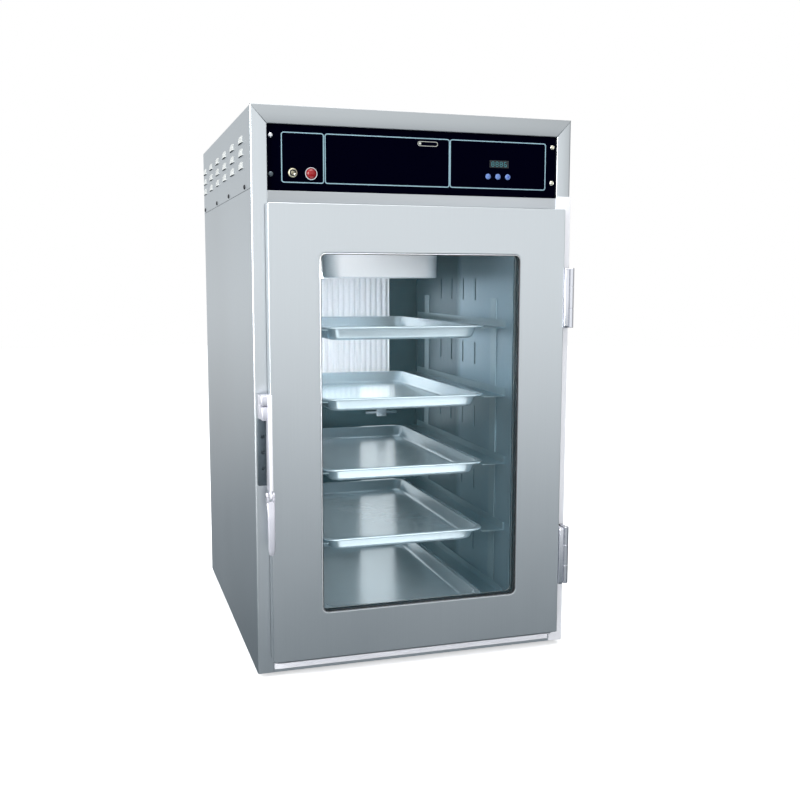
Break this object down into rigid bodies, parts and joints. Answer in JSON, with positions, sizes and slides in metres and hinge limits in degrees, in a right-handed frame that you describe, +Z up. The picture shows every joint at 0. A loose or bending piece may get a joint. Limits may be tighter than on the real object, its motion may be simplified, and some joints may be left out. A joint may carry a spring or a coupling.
{
  "type": "proofing cabinet",
  "caption": "Glass-door proofing cabinet with a stainless shell, control header, pull-lever latch, knuckle hinges, ceiling fan and heater, side air ducts and sliding pans on racks.",
  "frame": {"origin": "middle of the base on the floor, at the centre of the overall footprint", "axes": "+Z up, -Y out of the door, +X to the hinge side"},
  "size_m": [0.606, 0.769, 1.008],
  "materials": {
    "brushed_steel": "vertical fine brushing, satin, cool grey-blue",
    "dark_steel": "dull grey steel",
    "liner_steel": "satin steel liner, reads teal grey in the cavity",
    "pan_steel": "drawn steel tray, satin with bright rim",
    "aluminium_sheet": "bright mill finish",
    "chrome": "polished",
    "rubber": "matte",
    "mineral_wool": "fibrous slab",
    "black_plastic": "moulded, matte",
    "black_panel": "black printed panel, semi-gloss",
    "display": "smoked display window",
    "red_lens": "translucent red lens",
    "blue_button": "light blue push button",
    "glass": "clear toughened glass"
  },
  "bodies": {
    "root": {"front_left_foot": "rubber", "front_right_foot": "rubber", "rear_left_foot": "rubber", "rear_right_foot": "rubber", "base_pan": "dark_steel", "left_side_panel": "brushed_steel", "right_side_panel": "brushed_steel", "rear_panel": "brushed_steel", "top_cover": "brushed_steel", "front_bezel": "brushed_steel", "hinge_jamb": "brushed_steel", "sill_strip": "brushed_steel", "cavity_liner": "liner_steel", "insulation_jacket": "mineral_wool", "left_duct_panel": "liner_steel", "right_duct_panel": "liner_steel", "left_pan_rack": "liner_steel", "right_pan_rack": "liner_steel", "rear_air_panel": "aluminium_sheet", "ceiling_air_box": "aluminium_sheet", "fan_motor": "black_plastic", "heating_element": "dark_steel", "temperature_probe": "chrome", "control_panel": "black_panel", "temperature_controller": "display", "lower_left_panel_screw": "chrome", "lower_right_panel_screw": "chrome", "upper_left_panel_screw": "chrome", "upper_right_panel_screw": "chrome", "power_switch_body": "black_plastic", "power_switch_nut": "chrome", "power_lamp_collar": "chrome", "power_lamp_lens": "red_lens", "cable_gland": "black_plastic", "upper_hinge_jamb_leaf": "chrome", "lower_hinge_jamb_leaf": "chrome", "strike_plate": "dark_steel"},
    "door": {"door_outer_skin": "brushed_steel", "door_inner_skin": "brushed_steel", "door_insulation": "mineral_wool", "outer_glass": "glass", "inner_glass": "glass", "window_spacer": "black_plastic", "window_bead": "chrome", "door_gasket": "rubber", "upper_hinge_door_leaf": "chrome", "lower_hinge_door_leaf": "chrome", "latch_body": "chrome", "latch_pin": "dark_steel"},
    "latch_lever": {"latch_lever": "chrome"},
    "fan_wheel": {"fan_wheel": "aluminium_sheet"},
    "power_switch_lever": {"power_switch_lever": "chrome"},
    "set_button": {"set_button": "blue_button"},
    "down_button": {"down_button": "blue_button"},
    "up_button": {"up_button": "blue_button"},
    "pan_1": {"pan_1": "pan_steel"},
    "pan_2": {"pan_2": "pan_steel"},
    "pan_3": {"pan_3": "pan_steel"},
    "pan_4": {"pan_4": "pan_steel"},
    "pan_5": {"pan_5": "pan_steel"}
  },
  "joints": [
    {"name": "door_hinge", "type": "hinge", "parent": "root", "child": "door", "pos_m": [0.2935, -0.3535, 0.437], "axis": [0, 0, 1], "range_deg": [0, 175]},
    {"name": "latch_pull", "type": "hinge", "parent": "door", "child": "latch_lever", "pos_m": [-0.2808, -0.3715, 0.342], "axis": [-1, 0, 0], "range_deg": [0, 35]},
    {"name": "fan_spin", "type": "hinge", "parent": "root", "child": "fan_wheel", "pos_m": [0, 0.0705, 0.768], "axis": [0, 0, 1], "continuous": true},
    {"name": "power_toggle", "type": "hinge", "parent": "root", "child": "power_switch_lever", "pos_m": [-0.226, -0.3255, 0.896], "axis": [-1, 0, 0], "range_deg": [0, 28]},
    {"name": "set_press", "type": "slide", "parent": "root", "child": "set_button", "axis": [0, 1, 0], "range_m": [0, 0.0012], "stiffness_N_per_m": 300, "springref_m": -0.0008},
    {"name": "down_press", "type": "slide", "parent": "root", "child": "down_button", "axis": [0, 1, 0], "range_m": [0, 0.0012], "stiffness_N_per_m": 300, "springref_m": -0.0008},
    {"name": "up_press", "type": "slide", "parent": "root", "child": "up_button", "axis": [0, 1, 0], "range_m": [0, 0.0012], "stiffness_N_per_m": 300, "springref_m": -0.0008},
    {"name": "pan_1_slide", "type": "slide", "parent": "root", "child": "pan_1", "axis": [0, 1, 0], "range_m": [-0.05, 0.02]},
    {"name": "pan_2_slide", "type": "slide", "parent": "root", "child": "pan_2", "axis": [0, 1, 0], "range_m": [-0.05, 0.02]},
    {"name": "pan_3_slide", "type": "slide", "parent": "root", "child": "pan_3", "axis": [0, 1, 0], "range_m": [-0.05, 0.02]},
    {"name": "pan_4_slide", "type": "slide", "parent": "root", "child": "pan_4", "axis": [0, 1, 0], "range_m": [-0.05, 0.02]},
    {"name": "pan_5_slide", "type": "slide", "parent": "root", "child": "pan_5", "axis": [0, 1, 0], "range_m": [-0.05, 0.02]}
  ]
}
